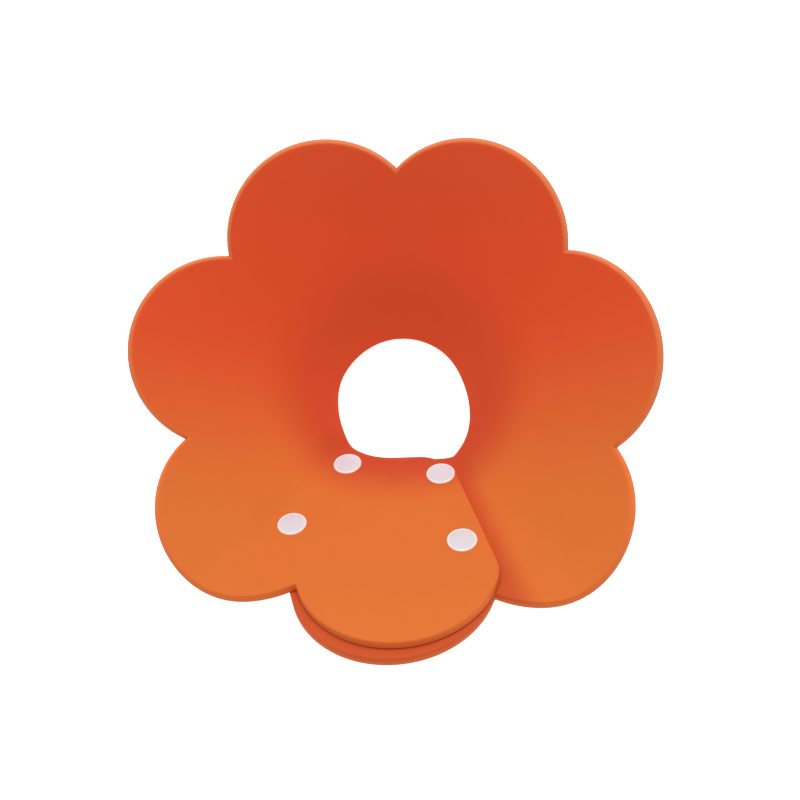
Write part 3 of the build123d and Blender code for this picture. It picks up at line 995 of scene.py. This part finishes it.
def area_light(name, place, aim, size, power):
    """A round lamp at a place, facing an aim."""
    lamp = bpy.data.lights.new(name, "AREA")
    lamp.shape = "DISK"
    lamp.size = size
    lamp.energy = power
    light = bpy.data.objects.new(name, lamp)
    light.location = place
    light.rotation_mode = "QUATERNION"
    light.rotation_quaternion = (Vector(aim) - Vector(place)).to_track_quat("-Z", "Y")
    bpy.context.scene.collection.objects.link(light)


def studio():
    """An even white surround, and a large lamp above and behind the collar."""
    world = bpy.data.worlds.new("studio")
    world.use_nodes = True
    background = world.node_tree.nodes["Background"]
    background.inputs["Color"].default_value = (1, 1, 1, 1)
    background.inputs["Strength"].default_value = WORLD_LIGHT
    bpy.context.scene.world = world
    area_light("key", KEY_PLACE, KEY_AIM, KEY_SIZE, KEY_POWER)
    bpy.context.scene.view_settings.view_transform = "Standard"


def camera():
    """The camera looks down into the funnel, with the overlap at the bottom of the view."""
    lens = bpy.data.cameras.new("camera")
    lens.lens = FOCAL_LENGTH
    lens.shift_x, lens.shift_y = LENS_SHIFT
    turn = Matrix.Identity(3)
    for axis, angle in CAMERA_TURNS:
        turn @= Matrix.Rotation(radians(angle), 3, axis)
    turn.transpose()
    target = MM * (APEX + Vector((0, 0, TARGET_HEIGHT)))
    place = target + turn @ Vector((0, 0, MM * CAMERA_DISTANCE))
    view = bpy.data.objects.new("camera", lens)
    view.matrix_world = Matrix.Translation(place) @ turn.to_4x4()
    bpy.context.scene.collection.objects.link(view)
    bpy.context.scene.camera = view


# The collar

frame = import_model()
socket_middle = UPPER_OUT + SOCKET_HEIGHT / 2
snap_centres = {snap: centre_of(f"{snap}_socket") - LAP_IN * socket_middle for snap in SNAPS}
outlines = {layer: layer_outline(layer) for layer in (UPPER, LOWER)}

foam = foam_material("foam", BACK_COLOURS, FRONT_COLOURS, cell=0.45, depth=0.05, roughness=(0.72, 0.86))
cut_foam = foam_material(
    "foam_cut_edge", CUT_BACK_COLOURS, CUT_FRONT_COLOURS, cell=0.6, depth=0.14, roughness=(0.85, 0.95)
)
plastic = plastic_material()

_, upper_rim, upper_seam = outlines[UPPER]
_, lower_rim, lower_seam = outlines[LOWER]
left_half = foam_piece("foam_left_half", UPPER, 0, upper_seam)
left_half = upper_pockets(left_half, LEFT_SNAPS)
closing_end = foam_piece("foam_closing_end", UPPER, upper_seam, upper_rim - 1)
closing_end = upper_pockets(closing_end, RIGHT_SNAPS)
right_half = foam_piece("foam_right_half", LOWER, 0, lower_seam)
right_half = lower_pockets(right_half, RIGHT_SNAPS)
tucked_end = foam_piece("foam_tucked_end", LOWER, lower_seam, lower_rim - 1)
tucked_end = lower_pockets(tucked_end, LEFT_SNAPS)
store_painted_shade(left_half, UPPER)
store_painted_shade(closing_end, UPPER)
store_painted_shade(right_half, LOWER)
store_painted_shade(tucked_end, LOWER)

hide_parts("left_petal", "top_left_petal", "left_front_petal")
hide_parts("closing_petal")
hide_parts("right_petal", "top_right_petal", "right_front_petal")
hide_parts("tucked_petal")

tucked_fold = APEX + TUCKED_FOLD_X * RIGHT
bend(left_half, "back_petals", "left_front", *on_fold(LEFT_FOLD), -BEND_REACH, BEND_REACH)
bend(closing_end, "left_front", "closing", *on_closing_fold(), CLOSING_BEND_START, BEND_REACH)
bend(right_half, "back_petals", "right_front", *on_fold(RIGHT_FOLD), BEND_REACH, -BEND_REACH)
bend(tucked_end, "right_front", "tucked", tucked_fold, -RIGHT, TUCKED_BEND_START, BEND_REACH)

for snap in SNAPS:
    upper_body, lower_body = "closing", "right_front"
    if snap in LEFT_SNAPS:
        upper_body, lower_body = "left_front", "tucked"
    cap(snap, "face_cap", UPPER_IN - CAP_SINK, UPPER_OUT + CAVITY_DEPTH, 1, upper_body)
    socket(snap, upper_body)
    stud(snap, lower_body)
    cap(snap, "back_cap", LOWER_OUT + CAP_SINK, STUD_FLOOR, -1, lower_body)

floor()
studio()
camera()

bpy.context.view_layer.update()
